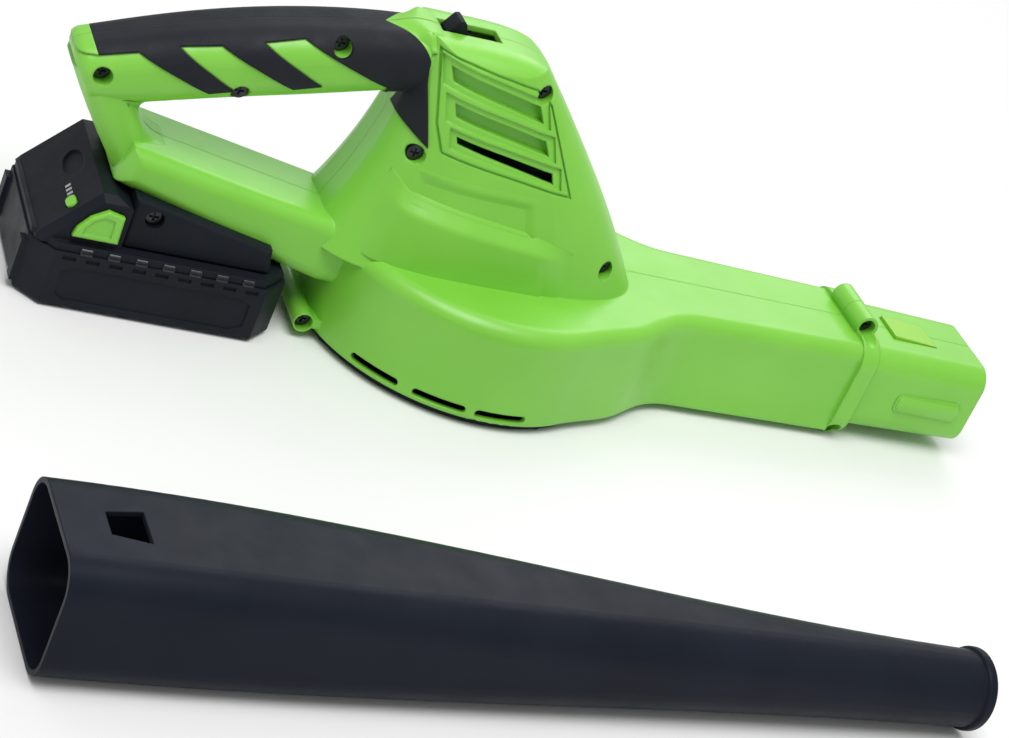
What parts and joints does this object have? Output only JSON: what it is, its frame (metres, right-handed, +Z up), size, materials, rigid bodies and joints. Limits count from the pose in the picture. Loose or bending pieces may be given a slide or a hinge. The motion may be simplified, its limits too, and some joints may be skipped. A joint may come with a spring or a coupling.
{
  "type": "cordless leaf blower",
  "caption": "Handheld cordless leaf blower with a round fan housing, D handle, slide-on battery pack and a detached tapering air tube lying beside it.",
  "frame": {"origin": "on the floor under the fan axis, at the centre of the intake grille", "axes": "+X forward along the duct, +Y to the blower's left, +Z up along the fan axis"},
  "size_m": [0.4913, 0.352, 0.1512],
  "materials": {
    "green_shell": "fine moulded satin",
    "green_button": "smooth moulded",
    "soft_grip": "soft overmould",
    "black_plastic": "moulded satin",
    "steel": "zinc plated",
    "contact_brass": "plain",
    "led_clear": "clear",
    "cell_wrap": "shrink wrap",
    "board_green": "laminate"
  },
  "bodies": {
    "body": {"left_housing": "green_shell", "right_housing": "green_shell", "left_grip": "soft_grip", "right_grip": "soft_grip", "housing_screws": "steel", "grille_screws": "steel", "intake_grille": "black_plastic", "motor_mount": "black_plastic", "motor_can": "steel", "motor_end_cap": "black_plastic", "lower_bearing": "steel", "upper_bearing": "steel", "motor_screws": "steel", "switch_body": "black_plastic", "battery_shoe": "black_plastic", "shoe_screws": "steel", "terminal_block": "black_plastic", "contact_blades": "contact_brass"},
    "rotor": {"motor_shaft": "steel", "impeller": "black_plastic", "fan_nut": "steel", "rotor_core": "steel"},
    "slider": {"switch_slider": "black_plastic"},
    "battery": {"battery_lower_case": "black_plastic", "battery_upper_case": "black_plastic", "led_windows": "led_clear", "battery_cells": "cell_wrap", "battery_board": "board_green", "battery_screws": "steel"},
    "release_left": {"release_button_left": "green_button"},
    "release_right": {"release_button_right": "green_button"},
    "charge": {"charge_button": "green_button"},
    "latch": {"tube_latch": "green_button"},
    "tube": {"air_tube": "black_plastic"}
  },
  "joints": [
    {"name": "fan_spin", "type": "hinge", "parent": "body", "child": "rotor", "pos_m": [0, 0, 0.05], "axis": [0, 0, 1], "continuous": true},
    {"name": "switch_slide", "type": "slide", "parent": "body", "child": "slider", "axis": [1, 0, 0], "range_m": [0, 0.012]},
    {"name": "battery_slide", "type": "slide", "parent": "body", "child": "battery", "axis": [-1, 0, 0], "range_m": [0, 0.06]},
    {"name": "release_left_press", "type": "slide", "parent": "battery", "child": "release_left", "axis": [0, -1, 0], "range_m": [0, 0.0025], "stiffness_N_per_m": 1500, "springref_m": -0.001},
    {"name": "release_right_press", "type": "slide", "parent": "battery", "child": "release_right", "axis": [0, 1, 0], "range_m": [0, 0.0025], "stiffness_N_per_m": 1500, "springref_m": -0.001},
    {"name": "charge_press", "type": "slide", "parent": "battery", "child": "charge", "axis": [0.746, 0, -0.666], "range_m": [0, 0.0008], "stiffness_N_per_m": 1000, "springref_m": -0.0005},
    {"name": "latch_press", "type": "slide", "parent": "body", "child": "latch", "axis": [0, 0, -1], "range_m": [0, 0.005], "stiffness_N_per_m": 1500, "springref_m": -0.002},
    {"name": "tube_lift", "type": "slide", "parent": "body", "child": "tube", "axis": [0, 0, 1], "range_m": [0, 0.25]}
  ]
}
